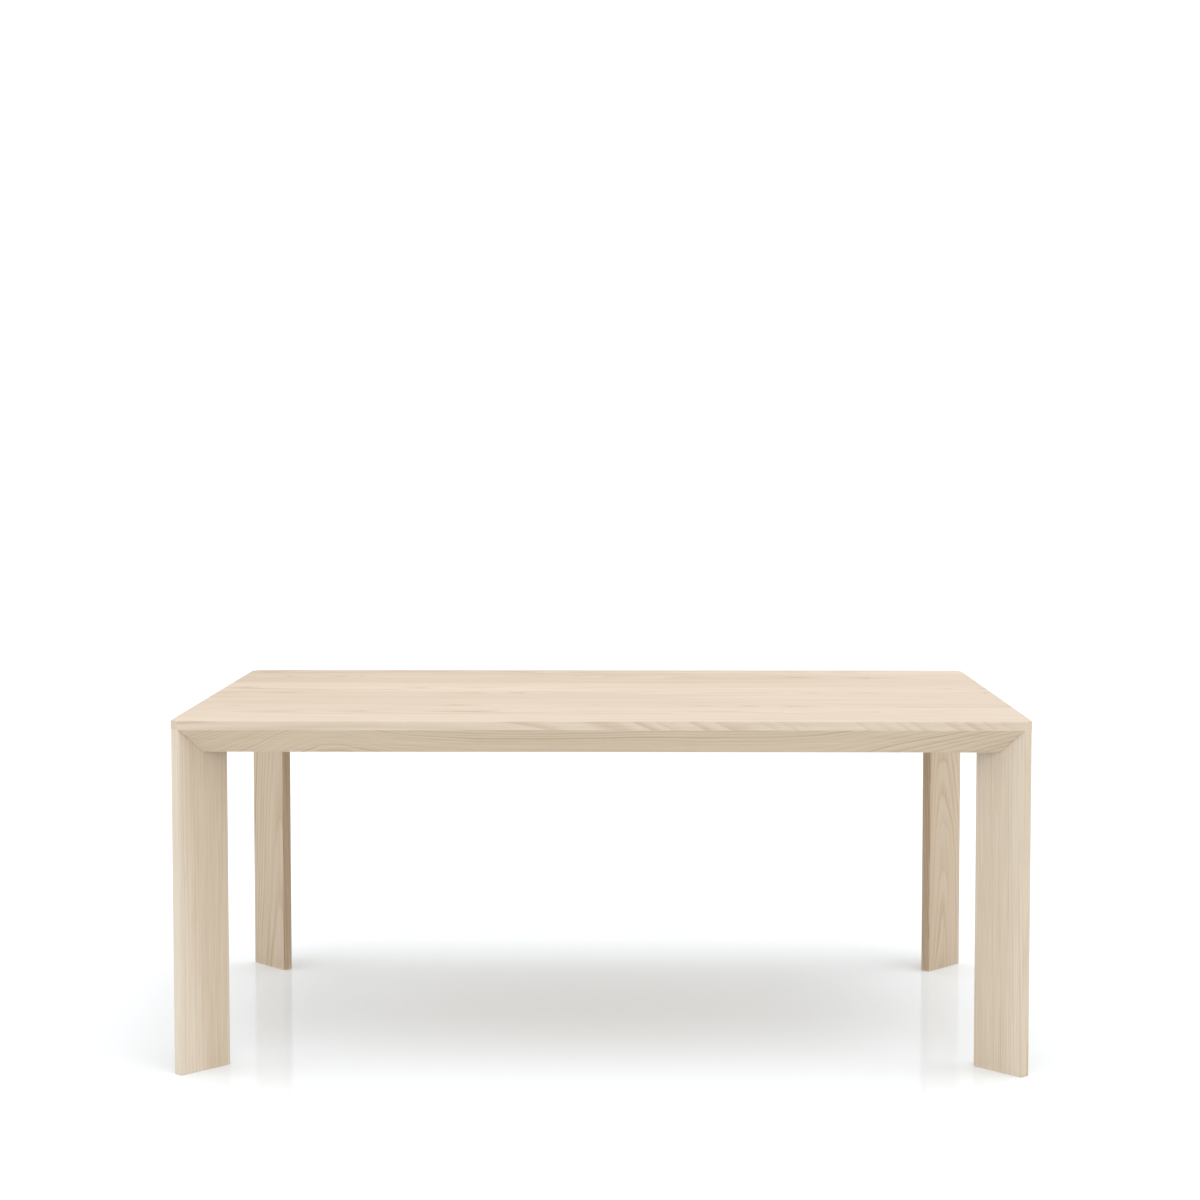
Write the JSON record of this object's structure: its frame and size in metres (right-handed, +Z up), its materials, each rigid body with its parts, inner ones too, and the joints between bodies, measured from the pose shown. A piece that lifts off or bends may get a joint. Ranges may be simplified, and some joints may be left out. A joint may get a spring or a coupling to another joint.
{
  "type": "communion table",
  "caption": "Rectangular light-wood table with an undercut apron and plank legs set diagonally at the corners, for communion or dining.",
  "frame": {"origin": "on the floor, below the centre of the table", "axes": "+X along the length of the top to the right, +Y towards the rear, +Z up"},
  "size_m": [1.8288, 1.0668, 0.762],
  "materials": {
    "top_wood": "satin clear lacquer",
    "apron_wood": "satin clear lacquer",
    "leg_wood": "satin clear lacquer",
    "frame_wood": "sanded, unfinished",
    "zinc_steel": "bright zinc plated",
    "clip_steel": "plain pressed steel",
    "glide_nylon": "matte beige nylon"
  },
  "bodies": {
    "root": {"top_stave_1": "top_wood", "top_stave_2": "top_wood", "top_stave_3": "top_wood", "top_stave_4": "top_wood", "top_stave_5": "top_wood", "top_stave_6": "top_wood", "top_stave_7": "top_wood", "front_apron_rail": "apron_wood", "rear_apron_rail": "apron_wood", "left_apron_rail": "apron_wood", "right_apron_rail": "apron_wood", "front_left_leg": "leg_wood", "front_right_leg": "leg_wood", "rear_left_leg": "leg_wood", "rear_right_leg": "leg_wood", "front_left_corner_block": "frame_wood", "front_right_corner_block": "frame_wood", "rear_left_corner_block": "frame_wood", "rear_right_corner_block": "frame_wood", "left_batten": "frame_wood", "centre_batten": "frame_wood", "right_batten": "frame_wood", "hanger_bolts": "zinc_steel", "hanger_washers": "zinc_steel", "hanger_nuts": "zinc_steel", "corner_block_screws": "zinc_steel", "batten_screws": "zinc_steel", "batten_washers": "zinc_steel", "clip_screws": "zinc_steel", "tabletop_clips": "clip_steel", "foot_glides": "glide_nylon"}
  },
  "joints": []
}
